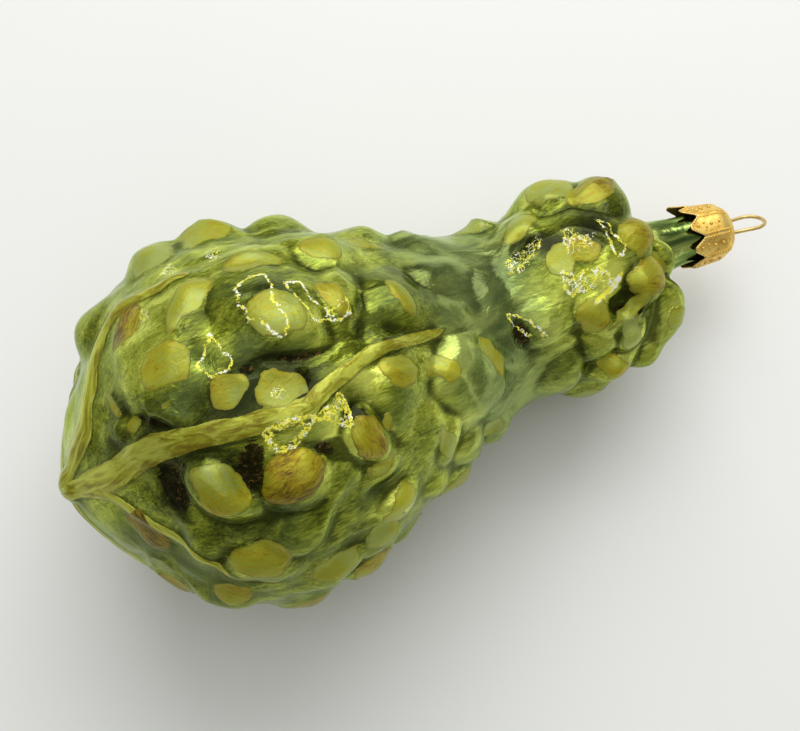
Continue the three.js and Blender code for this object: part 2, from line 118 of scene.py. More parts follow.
# Ribs from the blossom end: stations, angles, half widths.
RIBS = [
    ((0, 6, 8, 10.5, 12.5, 15, 17.5, 20, 22, 25, 28, 31.5, 35),
     (-20, -26, -35, -43, -47, -48, -47, -45, -42, -39, -37.5, -36, -35.5),
     (1.8, 2.9, 3, 2.7, 2.3, 1.9, 1.7, 1.5, 1.4, 1.3, 1.2, 1, 0.5)),
    ((0, 5, 7.5, 10.5, 14, 17, 24, 33, 38.5, 41, 45.5, 50, 54, 59, 64.5, 69.5, 73),
     (17, 16.5, 15.5, 12.5, 12, 13, 15.5, 17, 17.5, 15.5, 13, 11, 9.5, 9.5, 10.5, 10.5, 9.5),
     (1.6, 2.5, 2.6, 2.6, 2.5, 2.3, 2, 1.8, 1.7, 1.7, 1.5, 1.3, 1.1, 0.9, 0.8, 0.7, 0.4)),
    ((0, 3, 5, 6.5, 8, 10, 11.5, 13, 15, 17, 19, 22, 26, 31),
     (24, 26, 29, 36, 42, 47, 51, 54, 58, 62.5, 65.5, 67.5, 70, 75),
     (0.9, 1, 1, 1.1, 1.1, 1.1, 1.1, 1, 1, 1, 1, 0.9, 0.7, 0.4)),
]
LONG, SHORT, UNDER = (0, 10, 25, 45, 62), (0, 10, 20, 30, 36), (1.4, 2.2, 2, 1.4, 0.5)
RIBS += [
    (LONG, (112, 116, 122, 118, 121), UNDER), (SHORT, (168, 163, 158, 161, 160), UNDER),
    (SHORT, (214, 219, 214, 208, 210), UNDER), (LONG, (266, 262, 257, 260, 256), UNDER),
]
RIB_HEIGHT = 0.9  # of a rib of this half width:
RIB_HALF_WIDTH = 2.6
RIB_FADE = 6  # mm over which a rib sinks at its end
RIB_POINT = 3  # mm by which its paint narrows besides while it sinks
RIB_FOOT = 1.1  # how much wider than its paint a rib is
RIB_SINK = 4  # a swelling this high drowns most of a rib

# Finer relief, in mm. It rises between the stations of POLE_CALM and ends between those of NECK_CALM.
PAINT_LIFT, FOLD_LIFT, RIPPLE_LIFT = 0.17, 0.5, 0.12
POLE_CALM, NECK_CALM = (3, 8), (116, 121)
# Stations at which the waist's calm green comes and goes, and at which the neck's stripes come.
WAIST_FROM, WAIST_TO, STRIPES_FROM = (62, 74), (84, 98), (121, 124.5)

# Painted spots: station, angle, half length, half width, twist and tint (0 pale yellow-green, 0.5 ochre,
# 1 brown), then roundness (below 2 it is pointed like a leaf) and egg (wide towards its far end) where it
# isn't OVAL.
SPOTS = [
    (27.5, -58, 4.6, 3.2, -10, 0.1), (38, -58, 4.6, 3, 0, 0.3), (17, -35.5, 4.8, 2.7, -25, 0.8, 1.9, 0.2),
    (27.5, -26, 5.6, 2.7, -36, 0.25, 1.5, 0.2), (20.2, -10.5, 4.9, 3.6, -10, 0.3, 2.1, 0.1),
    (27, 5, 3.5, 3, 0, 0.35, 2.1, 0), (35.2, 10, 4.6, 3.3, -5, 0.3, 1.9, 0),
    (39, -8.5, 4.7, 4.2, 0, 0.25, 2.4, 0), (40.8, -31, 5.2, 2.4, 8, 0.25, 1.8, -0.3),
    (10.8, -15.5, 3, 1.4, 85, 0.35), (12.5, -1, 1.6, 1.1, 0, 0.35), (17.8, 1, 2.2, 0.9, 0, 0.3),
    (52.8, -31.5, 3.7, 2.6, 40, 0.4, 2.1, 0), (63, -41, 3.6, 1.4, 10, 0.3),
    (50, -9.5, 4.1, 2.3, 72, 0.45, 2.2, 0), (62.5, -5, 3.7, 2, 75, 0.35, 2.1, 0),
    (56, 18.5, 3.8, 3, 25, 0.45, 1.8, 0.2), (62.5, 21.5, 2.3, 1.6, 80, 0.3),
    (64.8, 23.5, 3, 1.7, 70, 0.35), (76, 26, 2.5, 1.7, 80, 0.25), (76.8, 32.5, 2.9, 1.6, 75, 0.4),
    (32, 33.5, 5.6, 4.1, -15, 0.75, 1.9, 0.1), (20.8, 30.5, 5.2, 3.4, 62, 0.3, 2.1, 0),
    (23.5, 57.5, 5.4, 3.4, 8, 0.45, 1.9, 0.15), (18.5, 78, 3.6, 2.8, 0, 0.5), (9, 54, 5.2, 3, 45, 0.95),
    (46, 32, 4.5, 3, 80, 0.6, 2, 0.1), (51, 32, 1.6, 1, 80, 0.4), (47.8, 42.5, 3.4, 1.3, -25, 0.3),
    (49.5, 59.5, 4, 2.3, -30, 0.35, 2, 0.1), (45.5, 69, 4, 2.4, -25, 0.12),
    (35.8, 71, 5.2, 2.6, -12, 0.3), (61.8, 51, 4.2, 1.6, 78, 0.1, 1.8, 0), (74.2, 71.5, 3.4, 1.8, 0, 0.1),
    (93.5, -32, 6.2, 1.9, -28, 0.2, 2.2, 0), (104.2, -47.5, 5, 3.4, -10, 0.2, 2.1, 0),
    (110.5, -33, 4.4, 2.9, 5, 0.65), (97.2, -1.5, 3, 3, 0, 0.3), (101.8, -2.5, 3.2, 2.6, 0, 0.5),
    (112.8, 3, 4, 3, 20, 0.6), (99.5, 31.5, 3.7, 3, -15, 0.35, 2.3, 0),
    (111.5, 26, 3.8, 3, 15, 0.55, 1.9, 0), (118, 27.5, 4, 1.8, 75, 0.3), (106.2, 38, 4.4, 1.1, -18, 0.25),
    (105.8, 50, 3.6, 1.7, 85, 0.0, 2.4, 0), (102.5, 67, 3, 2.3, 20, 0.45), (115.2, 62, 2.6, 2, 0, 0.15),
    (88, -58, 3.4, 1.5, 0, 0.05),
]

# Painted highlights, thin broken lines: closed lines of (station, angle).
HIGHLIGHT_LINES = [
    [(35.2, -21), (38, -23.5), (40.8, -22.5), (40.5, -17.5), (39.2, -12), (39.8, -8), (39.8, -4),
     (38.5, -1.5), (37, -4), (36.5, -8), (34.8, -10), (35.2, -13.5), (34.2, -15.5), (35.5, -17.5)],
    [(42.8, -17.5), (45.5, -17), (45.8, -13.5), (45.8, -10.5), (46.5, -8.5), (48, -6.5), (48, -4.5),
     (46, -3.5), (44.5, -4), (44.2, -8), (43.2, -11.5), (43, -15.5)],
    [(47.8, -5), (50, -7), (52, -7.5), (51.8, -4), (49.8, -2.5), (47.5, -3)],
    [(28.5, -12.5), (28.8, -10), (29, -7), (29.8, -2.5), (28.8, -0.5), (25.8, -0.5), (24.5, -5.5),
     (26.2, -7.5)],
    [(30, 19.5), (32.2, 18.5), (35.2, 19), (37.8, 19.5), (37.5, 22), (35.8, 24.5), (33.8, 26),
     (31.8, 26.5), (30, 24)],
    [(37.2, 21.5), (39.8, 20), (41.8, 19.5), (44, 17), (45, 19.5), (44.8, 23.5), (43.8, 27), (41.8, 25),
     (40.5, 22.5)],
    [(96.2, 4.5), (97.8, 8), (98, 15), (96.8, 18.5), (95.5, 13)],
    [(100.2, 8.5), (102.2, 9.5), (102, 14.5), (99, 19.5), (98, 15)],
    [(103.2, 10.5), (104.5, 13.5), (104.2, 19), (102.8, 16.5)],
    [(83.2, 14.5), (85, 16), (86.5, 22.5), (88.8, 33.5), (86.2, 30.5), (84, 22)],
    [(107, -15), (108.8, -9.5), (108, -4.5), (109.5, 4.5), (108.2, 8.5), (106.8, 7), (107, 0),
     (107.2, -9.5)],
]
# Two of these lines have a broad, broken painted highlight besides them.
HIGHLIGHT_FRINGES = HIGHLIGHT_LINES[4:6]  # these have a broad frayed edge besides
# Small patches of painted highlight, speckled all over.
HIGHLIGHT_SPECKLES = [
    [(29.5, -51), (29.5, -41.5), (27.8, -40), (26.8, -45.5)],
    [(35.5, -46), (38.2, -46.5), (37.2, -38), (35, -39)],
    [(20.5, -36.5), (21.8, -34), (21.2, -29.5), (20, -31.5)],
    [(33.2, 9.5), (35.5, 9.5), (36, 12.5), (33.8, 12.5)],
    [(40.5, 21), (44, 18), (44.8, 23.5), (43.5, 25.5)],
    [(87.5, -14), (90.2, -18.5), (95.8, -20), (96, -16), (91.5, -7), (89.5, -5), (87.5, -7)],
    [(100.5, -16), (102.5, -14), (102.8, -7.5), (105.2, -6.5), (103.5, -1.5), (99.2, -3)],
    [(96.5, 7), (100, 10), (103, 13), (103, 18), (99, 19), (96.5, 17)],
]
# Painted highlights: places that gleam whole.
HIGHLIGHT_PATCHES = [
    [(99.4, 25.8), (101.2, 23.2), (102.8, 21.8), (104.2, 20), (105.4, 17.6), (107.1, 15.2), (107.3, 17.8),
     (106.4, 20.4), (105.2, 22.8), (103.8, 24.6), (102.2, 25.6), (100.6, 26.2)],
    [(101.8, 21), (103.1, 18.8), (104.6, 16.6), (104.9, 17.6), (103.8, 19.8)],
]

# Painted shade in hollows and creases, dark and grainy: station, angle, half length, half width, twist
# and strength.
HOLLOW_SHADE = [
    (14.2, 26.5, 3.9, 7, 14, 3.6), (25.6, 28.5, 3.2, 5.2, 8, 3), (31.2, 1.8, 1.7, 1.3, 0, 2.6),
    (38.4, 30, 2.6, 1.8, 20, 2), (84.6, 28.5, 2.2, 3, 0, 2.4), (108, 38, 5.2, 1.3, 22, 2.4),
    (14.7, 2.5, 6, 1, 32, 2.2), (40, 3.5, 7, 0.8, 2, 1.7),
]

# Painted light (above 0) and painted shade (below 0) on the lacquer: station, angle, reach in mm and
# hundredths of tone.
LIGHT_AND_SHADE = [
    (20, -20, 8, 6), (19, -39, 5, 6), (10, -42, 6, 7), (28, -44, 8, 5), (38, -48, 7, 6),
    (71.5, 22, 5, 10), (63, 33, 6, 10), (91, 24, 6, 9), (35, 22.5, 5, 8), (41, 25, 4.5, 18),
    (49, 58, 5, 17), (49.5, 17.5, 4.2, 19), (70, 62, 5, 6), (106, 58, 5, 13), (112, 58, 5, 8),
    (5, 30, 5, 5), (42, 0, 5, 13), (4, -60, 6, 7), (102, 9, 5, 6), (60, -34, 6, 4), (122, 30, 4, 7),
    (84, 4, 5, 3), (34, -13, 3.5, 8), (96, 6, 5, 10), (65, 55, 5, 9), (44, 40, 5, 7), (24.5, 38, 3, 12),
    (20, 54, 4, 7), (25, 22, 5, 8), (29, 33, 3, 10), (101, -48, 6, 7), (112, -62, 6, 6), (92, -34, 6, 3),
    (26.5, -7, 4, 8), (52, -24, 5, 3), (22, 3, 3.5, 5), (90, 45, 6, 5), (7, -22, 4, 7), (58, 2, 4, 2),
    (17, 38, 3, 8), (90, 0, 4, 6), (98.5, -26, 4, 7), (104.5, 18, 3.5, 19), (72, -9, 4, 1),
    (17, -10, 4, 7), (42, -8, 3.5, 7), (38, -21, 3.5, 7), (10.5, 50, 4, 8), (36, 4, 7, -8),
    (45, 7, 6, -4), (26, 8, 6, -17), (96.5, -12, 5, -20), (105, -7, 5, -16), (14, 23, 4, -9),
    (22, 28, 5, -13), (28, 37, 4, -14), (13.5, 37, 3.5, -12), (8, 61, 6, -14), (107, 36, 5, -10),
    (39, -15.5, 5, -13), (60, -10, 5, -6), (85, -12, 6, -8), (45, 55, 5, -9), (102.5, -38, 4, -8),
    (11, -12, 4, -5), (15, 2, 5, -9), (90, -17, 5, -5), (112, -20, 5, -6), (9, 0, 4, -10),
    (38, 11, 5, -14), (34, 12.5, 3.5, -8), (44.8, 23.5, 2.4, -15), (45.4, 25.2, 2.2, -20),
    (91, 15, 4, -8), (25.5, -15, 4, -13), (15, 76, 8, -8), (69, -13, 5, -6), (78, -4, 4, -4),
    (66, -10, 4, -4), (24, 57, 4, -5), (56, 9, 5, -5), (22, -1, 3, -5), (38, -36, 4, -5),
    (21.5, 47, 3.5, -8), (57, 45, 5, -1), (70, 40, 5, -2), (80, -2, 4, -4),
]

# Shapes that rows leave out. The underside's spots have sizes that are shares of their swellings'.
DOME, OVAL = (1, 0), (2, 0)
HIDDEN_SPOT, HIDDEN_OVAL = (0.66, 0.55), (2, 0.1)
SPOT_WAVER = 0.24  # mm by which a spot's outline wavers

# ---- the cap and the wire ----
# Tip, shoulder and top are stations. The flat radius is the top's. Flat is how far a petal is flattened,
# taper how much narrower the cap is at its shoulder. Notch, crease and slit lie between two petals.
CAP = dict(petals=8, tip=132.2, shoulder=138.4, top=142.6, radius=6.3, flat_radius=3.3, metal=0.3,
           flat=0.55, taper=0.25, notch=2.2, crease=0.22, slit=0.7)
PERIOD = 2 * np.pi / CAP["petals"]
FLARES = (0.25, 0.1, 0.3, 0.15, 0.2, 0.3, 1.5, 0.5)  # how far each petal's tip stands out; one is bent
BEADS = dict(gap=0.62, radius=0.23, uneven=0.12, seed=11)
# Radius of the wire and of its loop, the station of the loop's centre, and the turn of their plane.
WIRE = dict(radius=0.4, loop=3.1, centre=148.4, turn=math.radians(46))
# Station and distance from the axis, from a leg's free end up.
WIRE_LEG = [(114, 8), (122, 5.2), (128, 3.1), (138.6, 2.6), (143.2, 2.6)]

# ---- how finely things are meshed ----
ROWS, COLUMNS = 300, 310  # of the glass
PETAL_COLUMNS, WALL_ROWS, DOME_ROWS = 28, 18, 12
WIRE_SIDES, WIRE_STEPS = 14, 10
FAR = 9.0  # mm, farther than any edge or line is felt
OFF_RIM = 4.0  # mm, farther than the worn lip of the cap reaches
LINE_REACH = 14  # mm along the gourd from a closed line's middle, within which it is felt
STROKE_GAP = 9.0  # keeps the brush strokes of one spot apart from the next one's


# ---- the gourd's form ----
def smoothstep(x, low, high):
    t = np.clip((x - low) / (high - low), 0, 1)
    return t * t * (3 - 2 * t)


def outline_rows(count):
    """Station, radius and outward normal of evenly spaced places along the outline."""
    p = np.array(OUTLINE, float)
    n = len(p)
    t = np.linspace(0, n - 1, 4001)
    k = np.minimum(t.astype(int), n - 2)
    w = (t - k)[:, None]
    p0, p1, p2, p3 = p[np.maximum(k - 1, 0)], p[k], p[k + 1], p[np.minimum(k + 2, n - 1)]
    v0, v1 = (p2 - p0) / 2, (p3 - p1) / 2
    q = (2 * p1 - 2 * p2 + v0 + v1) * w**3 + (-3 * p1 + 3 * p2 - 2 * v0 - v1) * w**2 + v0 * w + p1
    q[:, 1] = np.maximum(q[:, 1], 0)
    length = np.concatenate([[0], np.cumsum(np.linalg.norm(np.diff(q, axis=0), axis=1))])
    d = np.gradient(q, axis=0)
    d /= np.maximum(np.linalg.norm(d, axis=1), 1e-9)[:, None]
    at = np.linspace(0, length[-1], count)
    s, r = np.interp(at, length, q[:, 0]), np.interp(at, length, q[:, 1])
    ds, dr = np.interp(at, length, d[:, 0]), np.interp(at, length, d[:, 1])
    size = np.hypot(ds, dr)
    return s, r, -dr / size, ds / size


FINE = outline_rows(count=900)


def round_axis(station, radius, angle):
    """Places at a station, a distance from the gourd's axis and an angle in radians."""
    return np.stack([station, -radius * np.sin(angle), radius * np.cos(angle)], -1)


def point_at(s, r, ns, nr, angle, lift):
    """A place on the outline, lifted along its normal and turned round the axis."""
    return round_axis(s + lift * ns, r + lift * nr, angle)


def uneven(p):
    """Shifts places a little, smoothly, so that no swelling is an even oval."""
    x, y, z = p[..., 0], p[..., 1], p[..., 2]
    along = np.sin(0.31 * y + 0.24 * z)
    sideways = np.sin(0.27 * x + 0.22 * z + 1.3)
    upwards = np.sin(0.33 * y - 0.25 * x + 0.6)
    return p + UNEVEN * np.stack([along, sideways, upwards], -1)


def waves(p, length, seed, count=18):
    """A smooth random field with bumps about this length in mm."""
    rng = np.random.default_rng(seed)
    way = rng.normal(size=(count, 3))
    way *= (2 * np.pi / length * rng.uniform(0.7, 1.4, count) / np.linalg.norm(way, axis=1))[:, None]
    return np.cos(p @ way.T + rng.uniform(0, 2 * np.pi, count)).sum(1) * math.sqrt(2 / count)


def local_axes(station, angle, twist):
    """Centre of a form on the outline, with its length and width lying in the surface."""
    row = int(np.argmax(FINE[0] >= station))
    a, t = math.radians(angle), math.radians(twist)
    ns, nr = FINE[2][row], FINE[3][row]
    centre = point_at(FINE[0][row], FINE[1][row], ns, nr, a, 0.0)
    along = np.array([nr, ns * math.sin(a), -ns * math.cos(a)])
    across = np.array([0, -math.cos(a), -math.sin(a)])
    return centre, along * math.cos(t) + across * math.sin(t), across * math.cos(t) - along * math.sin(t)


def squared(vectors):
    """The square of each vector's length."""
    return np.einsum("ij,ij->i", vectors, vectors)


def form_lift(points, row):
    """How far a swelling lifts each point: a dome, blunter with a larger crown and higher where it leans."""
    station, angle, half_l, half_w, twist, height, *shape = row
    crown, lean = shape or DOME
    centre, length, width = local_axes(station, angle, twist)
    off = uneven(points) - uneven(centre)
    u, v = off @ length / half_l, off @ width / half_w
    spread = np.clip(u**2 + v**2, 0, 1)
    near = squared(off) < (1.6 * max(half_l, half_w)) ** 2  # not the body's far side
    return np.where(near, height * (1 - spread**crown) ** 2 * (1 + lean * v), 0)


def total_lift(points, rows):
    return sum(form_lift(points, row) for row in rows)


def hidden_rows():
    """The underside's swellings, each on both sides of the bottom line."""
    for s, off, half_l, half_w, height in UNDERSIDE + FEET:
        for angle in [180 - off, 180 + off] if off else [180]:
            yield s, angle, half_l, half_w, height


def ribs(points):
    """Distance inside the nearest painted rib, distance across it, and the ribs' lift."""
    around = np.arctan2(-points[:, 1], points[:, 2])
    reach = np.hypot(points[:, 1], points[:, 2])
    inside = np.full(len(points), -FAR)
    side = np.zeros(len(points))
    lift = np.zeros(len(points))
    for stations, angles, widths in RIBS:
        off = around - np.radians(np.interp(points[:, 0], stations, angles))
        distance = reach * np.arctan2(np.sin(off), np.cos(off))
        half = np.interp(points[:, 0], stations, widths)
        end = 1 - smoothstep(points[:, 0], stations[-1] - RIB_FADE, stations[-1])
        height = RIB_HEIGHT * np.sqrt(half / RIB_HALF_WIDTH) * end
        lift = np.maximum(lift, height * np.exp(-((distance / (half * RIB_FOOT)) ** 2)))
        depth = half * end - RIB_POINT * (1 - end) - np.abs(distance)
        side = np.where(depth > inside, distance, side)
        inside = np.maximum(inside, depth)
    return inside, side, lift


def relief_at(points):
    """The lift of all large forms, with the distances inside and across the nearest rib."""
    raised = [*SWELLINGS, *((*oval, 0, height) for *oval, height in hidden_rows())]
    swell = np.cbrt(sum(form_lift(points, row) ** 3 for row in raised))
    press = total_lift(points, HOLLOWS)
    inside, side, lift = ribs(points)
    return np.maximum(swell + lift * np.exp(-swell / RIB_SINK) - press, DEEPEST), inside, side


def spots(points):
    """Distance inside the nearest painted spot, its tint, and coordinates along its brush strokes."""
    rng = np.random.default_rng(seed=7)
    rows = list(SPOTS)
    for s, angle, half_l, half_w, _ in hidden_rows():
        turn, tint = float(rng.uniform(-40, 40)), float(rng.uniform(0.1, 0.7))
        size = half_l * HIDDEN_SPOT[0], half_w * HIDDEN_SPOT[1]
        rows.append((s, angle, *size, turn, tint, *HIDDEN_OVAL))
    waver = [waves(points, length=7, seed=31 + axis, count=10) for axis in range(3)]
    points = points + SPOT_WAVER * np.stack(waver, 1)
    best = np.full(len(points), -FAR)
    tints = np.zeros(len(points))
    stroke = np.zeros((len(points), 3))
    for index, (s, angle, half_l, half_w, twist, tint, *shape) in enumerate(rows):
        power, egg = shape or OVAL
        centre, length, width = local_axes(s, angle, twist)
        off = points - centre
        u, v = off @ length, off @ width
        a, b = np.abs(u) / half_l, np.abs(v) / (half_w * (1 + egg * np.clip(u / half_l, -1, 1)))
        inside = (1 - (a**power + b**power) ** (1 / power)) * min(half_l, half_w)
        near = squared(off) < (3 * half_l) ** 2
        take = near & (inside > best)
        best = np.where(take, inside, best)
        tints = np.where(take, tint, tints)
        stroke[take] = np.stack([u, v, np.full(len(u), STROKE_GAP * index)], 1)[take]
    return best, tints, stroke


def shade_at(points):
    """How much painted light (above 0) or painted shade (below 0) lies on each point."""
    shade = np.zeros(len(points))
    bent = uneven(points)
    for station, angle, reach, hundredths in LIGHT_AND_SHADE:
        off = bent - uneven(local_axes(station, angle, 0)[0])
        shade += hundredths / 100 * np.exp(-squared(off) / reach**2)
    return shade


def line_distance(stations, angles, radii, outlines):
    """Distance in mm to the nearest of some closed lines on the gourd, negative inside them."""
    best = np.full(len(stations), FAR)
    for outline in outlines:
        line = np.array(outline, float)
        s0, a0 = line.mean(0)
        near = np.abs(stations - s0) < LINE_REACH
        x = stations[near] - s0
        turn = angles[near] - math.radians(a0)
        y = np.arctan2(np.sin(turn), np.cos(turn)) * radii[near]
        scale = float(np.interp(s0, FINE[0], FINE[1]))
        px, py = line[:, 0] - s0, np.radians(line[:, 1] - a0) * scale
        distance = np.full(len(x), FAR)
        inside = np.zeros(len(x), bool)
        for ax, ay, bx, by in zip(px, py, np.roll(px, -1), np.roll(py, -1)):
            ex, ey = bx - ax, by - ay
            w = np.clip(((x - ax) * ex + (y - ay) * ey) / (ex * ex + ey * ey), 0, 1)
            distance = np.minimum(distance, np.hypot(x - ax - w * ex, y - ay - w * ey))
            crossing = (y - ay) / (ey if abs(ey) > 1e-9 else 1e-9)
            inside ^= ((ay > y) != (by > y)) & (x < ax + crossing * ex)
        signed = np.where(inside, -distance, distance)
        best[near] = np.where(np.abs(signed) < np.abs(best[near]), signed, best[near])
    return best


def bend_neck(p):
    """Shifts the neck to the side and bends it, and what sits on it."""
    start, length, turn = NECK_BEND
    low, high, side = NECK_SHIFT
    radius = length / turn
    y = p[:, 1] + side * smoothstep(p[:, 0], low, high)
    along = np.clip(p[:, 0] - start, 0, length)
    at = along / radius
    rest = p[:, 0] - start - along
    x = start + radius * np.sin(at) + rest * np.cos(at) + y * np.sin(at)
    return np.stack([x, -radius * (1 - np.cos(at)) - rest * np.sin(at) + y * np.cos(at), p[:, 2]], 1)


def lay_down(p):
    """From the gourd's own frame in mm to the shared frame in metres."""
    p = bend_neck(np.asarray(p, float))
    c, s = math.cos(TILT), math.sin(TILT)
    laid = np.stack([p[:, 0] * c + p[:, 2] * s, p[:, 1], p[:, 2] * c - p[:, 0] * s], 1)
    return (laid + np.array(POLE)) * MM


# ---- meshes ----
def show(name, data):
    """Puts a mesh, a light or the camera into the scene."""
    item = bpy.data.objects.new(name, data)
    bpy.context.collection.objects.link(item)
    return item


def new_mesh(name, vertices, faces):
    mesh = bpy.data.meshes.new(name)
    mesh.from_pydata(vertices.tolist(), [], faces)
    mesh.validate()
    mesh.polygons.foreach_set("use_smooth", [True] * len(mesh.polygons))
    return show(name, mesh)


def store(piece, **marks):
    """Keeps marks, numbers or vectors, on a piece's points for its material to read."""
    for name, values in marks.items():
        values = np.asarray(values, np.float32)
        kind, key = ("FLOAT", "value") if values.ndim == 1 else ("FLOAT_VECTOR", "vector")
        attribute = piece.data.attributes.new(name, kind, "POINT")
        attribute.data.foreach_set(key, values.ravel())


def between_rings(count, sides, first=0):
    """Faces between each ring of points and the next, counted from the first ring's first point."""
    faces = []
    for a in range(first, first + (count - 1) * sides, sides):
        b = a + sides
        faces += [(a + j, a + (j + 1) % sides, b + (j + 1) % sides, b + j) for j in range(sides)]
    return faces


def soften(grid, passes):
    """Evens out a grid along its rows and round its columns."""
    for _ in range(passes):
        grid = (np.roll(grid, 1, 1) + grid + np.roll(grid, -1, 1)) / 3
        rows = np.concatenate([grid[:1], grid, grid[-1:]])
        grid = (rows[:-2] + rows[1:-1] + rows[2:]) / 3
    return grid


def glass_body():
    """The glass's outer skin, closed at the neck's end, with the marks that its lacquer reads."""
    s, r, ns, nr = outline_rows(ROWS)
    ns[0], nr[0] = -1, 0
    grid = [np.repeat(a[1:], COLUMNS) for a in (s, r, ns, nr)]
    around = np.tile(np.arange(COLUMNS) * 2 * np.pi / COLUMNS, ROWS - 1)
    base = np.concatenate([[[0.0, 0.0, 0.0]], point_at(*grid, around, np.zeros(len(around)))])
    relief, rib, rib_side = relief_at(base)
    spot, tint, stroke = spots(base)
    folds = np.exp(-np.abs(waves(base * (0.62, 1, 1), length=17, seed=5)) / 0.22)
    folds = folds * smoothstep(waves(base, length=30, seed=8), -0.4, 0.9)
    middle = smoothstep(base[:, 0], *POLE_CALM) * (1 - smoothstep(base[:, 0], *NECK_CALM))
    paint = PAINT_LIFT * smoothstep(spot, -0.25, 0.25)
    relief = relief + middle * (paint + FOLD_LIFT * folds + RIPPLE_LIFT * waves(base, length=7.5, seed=3))
    sheet = relief[1:].reshape(ROWS - 1, COLUMNS)
    cavity = np.concatenate([[0.0], (sheet - soften(sheet, passes=14)).ravel()])
    # Distances to the painted highlights' lines and patches.
    wrinkle, wrinkled, fringed, peeled = (
        np.concatenate([[FAR], line_distance(grid[0], around, grid[1], lines)])
        for lines in (HIGHLIGHT_LINES, HIGHLIGHT_SPECKLES, HIGHLIGHT_FRINGES, HIGHLIGHT_PATCHES)
    )
    own = np.concatenate([[[-relief[0], 0.0, 0.0]], point_at(*grid, around, relief[1:])])
    faces = [(0, 1 + (j + 1) % COLUMNS, 1 + j) for j in range(COLUMNS)]
    faces += between_rings(ROWS - 1, COLUMNS, 1)
    last = 1 + (ROWS - 2) * COLUMNS
    faces.append(tuple(last + j for j in range(COLUMNS)))
    places = lay_down(own)
    places[:, 2] = np.maximum(places[:, 2], 0)  # where it rests, the skin is flat on the table
    piece = new_mesh("glass_surface", places, faces)
    store(piece, own=own, spot=spot, tint=tint, stroke=stroke, rib=rib, rib_side=rib_side, cavity=cavity)
    # The painted light and shade, and the painted shade of the hollows, kept for the material.
    store(piece, shade=shade_at(base), fold=folds * middle, puddle=total_lift(base, HOLLOW_SHADE))
    store(piece, wrinkle=wrinkle, wrinkled=wrinkled, fringed=fringed, peeled=peeled)
    return piece


# ---- the cap ----
def cap_side(angle, station):
    """Radius of the cap's outside at an angle and a station."""
    petal = np.round(angle / PERIOD).astype(int)
    off = np.abs(angle - PERIOD * petal)
    facet = math.cos(PERIOD / 2) / np.cos(off)
    share = np.clip((station - CAP["tip"]) / (CAP["shoulder"] - CAP["tip"]), -0.2, 1)
    side = CAP["radius"] * (1 - CAP["flat"] * (1 - facet)) - CAP["taper"] * share
    side = side + np.array(FLARES)[petal % CAP["petals"]] * (1 - share) ** 2 * (1 - 0.3 * off / PERIOD)
    side = side - CAP["crease"] * smoothstep(off / (PERIOD / 2), 0.9, 1.0)
    rise = np.clip((station - CAP["shoulder"]) / (CAP["top"] - CAP["shoulder"]), 0, 1)
    return CAP["flat_radius"] + (side - CAP["flat_radius"]) * np.sqrt(1 - rise**2)


def petal_rim(angle):
    """Station of the petals' rim: a blunt tip and two chamfers, with a slit between two petals."""
    off = np.abs(angle - PERIOD * np.round(angle / PERIOD)) / (PERIOD / 2)
    chamfer = CAP["notch"] * np.clip((off - 0.2) / 0.66, 0, 1)
    return CAP["tip"] + chamfer + CAP["slit"] * smoothstep(off, 0.94, 1)


def cap_shell():
    """The cap's sheet as one closed wall: down the inside, round the rim and up the outside."""
    columns = CAP["petals"] * PETAL_COLUMNS
    angle = np.arange(columns) * 2 * np.pi / columns
    rim = petal_rim(angle)
    skin, edge = [], []
    for i in range(WALL_ROWS + 1):
        station = rim + (CAP["shoulder"] - rim) * (i / WALL_ROWS)
        skin.append((station, cap_side(angle, station)))
        edge.append(station - rim)
    for i in range(1, DOME_ROWS + 1):
        height = (CAP["top"] - CAP["shoulder"]) * math.sin(i / DOME_ROWS * math.pi / 2)
        station = np.full(columns, CAP["shoulder"] + height)
        skin.append((station, cap_side(angle, station)))
        edge.append(np.full(columns, OFF_RIM))
    metal = CAP["metal"]
    inner = [(s - metal * (k > WALL_ROWS), q - metal) for k, (s, q) in enumerate(skin)]
    rings = inner[::-1] + skin
    walls = [round_axis(s, q, angle) for s, q in rings]
    points = np.concatenate([[[CAP["top"] - metal, 0, 0]], *walls, [[CAP["top"], 0, 0]]])
    half = len(inner) * columns
    inside = np.concatenate([np.ones(1 + half), np.zeros(half + 1)])
    edges = np.concatenate([np.full(1 + half, OFF_RIM), np.array(edge).ravel(), [OFF_RIM]])
    faces = [(0, 1 + (j + 1) % columns, 1 + j) for j in range(columns)]
    faces += between_rings(len(rings), columns, 1)
    top = len(points) - 1
    a = top - columns
    faces += [(a + j, a + (j + 1) % columns, top) for j in range(columns)]
    piece = new_mesh("cap_shell", lay_down(points), faces)
    store(piece, own=points, inside=inside, edge=edges)
    return piece


def bead_places():
    """Places and sizes of the raised beads: a row along every petal's border and five in its middle."""
    tip, notch, shoulder = CAP["tip"], CAP["notch"], CAP["shoulder"]
    # Shares of a petal's half width, with a station, or with a height over the tip and a size.
    border = [(-0.82, shoulder + 2.6), (-0.82, tip + notch + 0.3), (-0.16, tip + 0.55)]
    border += [(-off, station) for off, station in border[::-1]]
    middle = [(0.0, 1.7, 1.5), (-0.2, 3.1, 1.4), (0.22, 3.4, 1.3), (0.0, 4.7, 1.9), (-0.05, 6.6, 1.6)]
    places, sizes = [], []
    for petal in range(CAP["petals"]):
        for (o0, s0), (o1, s1) in zip(border, border[1:]):
            reach = math.hypot((o1 - o0) * PERIOD / 2 * CAP["radius"], s1 - s0)
            for t in np.arange(0, 1, BEADS["gap"] / max(reach, BEADS["gap"])):
                places.append((PERIOD * petal + (o0 + (o1 - o0) * t) * PERIOD / 2, s0 + (s1 - s0) * t))
                sizes.append(1.0)
        for off, rise, size in middle:
            places.append((PERIOD * petal + off * PERIOD / 2, tip + rise))
            sizes.append(size)
    angle, station = np.array(places).T
    return round_axis(station, cap_side(angle, station), angle), np.array(sizes)


